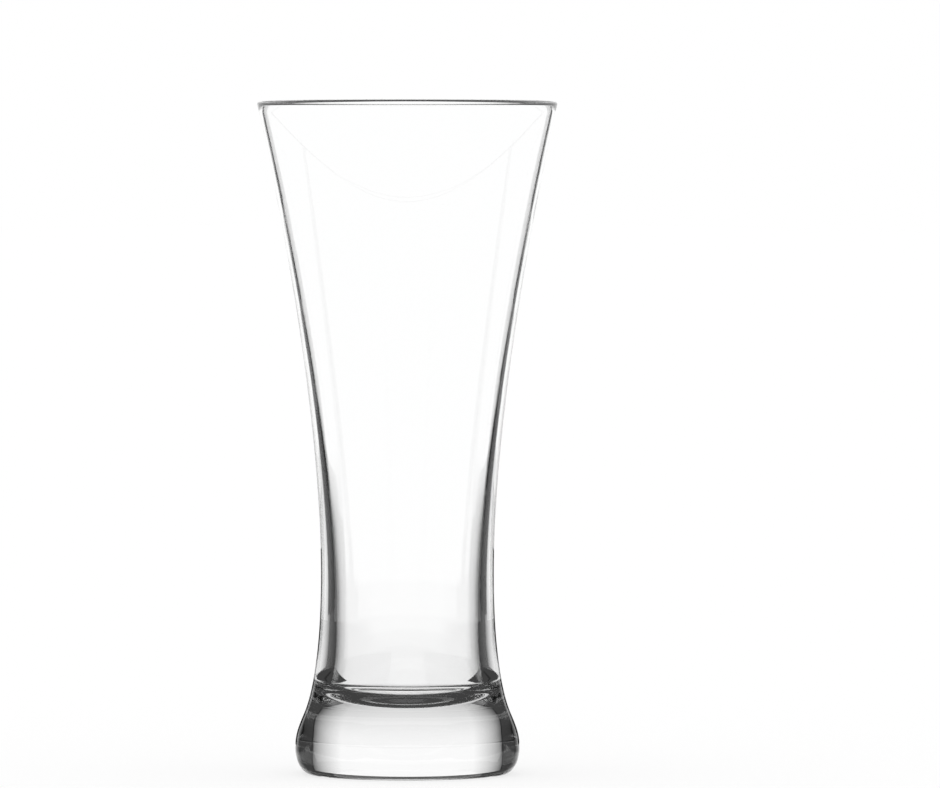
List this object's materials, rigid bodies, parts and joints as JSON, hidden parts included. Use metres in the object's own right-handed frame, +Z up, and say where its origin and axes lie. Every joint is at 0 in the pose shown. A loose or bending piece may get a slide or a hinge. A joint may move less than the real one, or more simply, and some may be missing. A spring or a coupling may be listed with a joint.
{
  "type": "pilsner glass",
  "caption": "Clear pilsner glass with a flared bowl, narrow waist, fire-polished rim and heavy solid base, for serving beer and other cold drinks.",
  "frame": {"origin": "centre of the ring that the glass stands on, in the plane of the table", "axes": "+Z up along the axis of the glass, towards the mouth; X and Y are alike, because the glass is round"},
  "size_m": [0.0812, 0.0812, 0.182],
  "materials": {
    "clear_glass": "clear, polished soda-lime glass"
  },
  "bodies": {
    "root": {"base": "clear_glass", "bowl": "clear_glass", "rim": "clear_glass"}
  },
  "joints": []
}
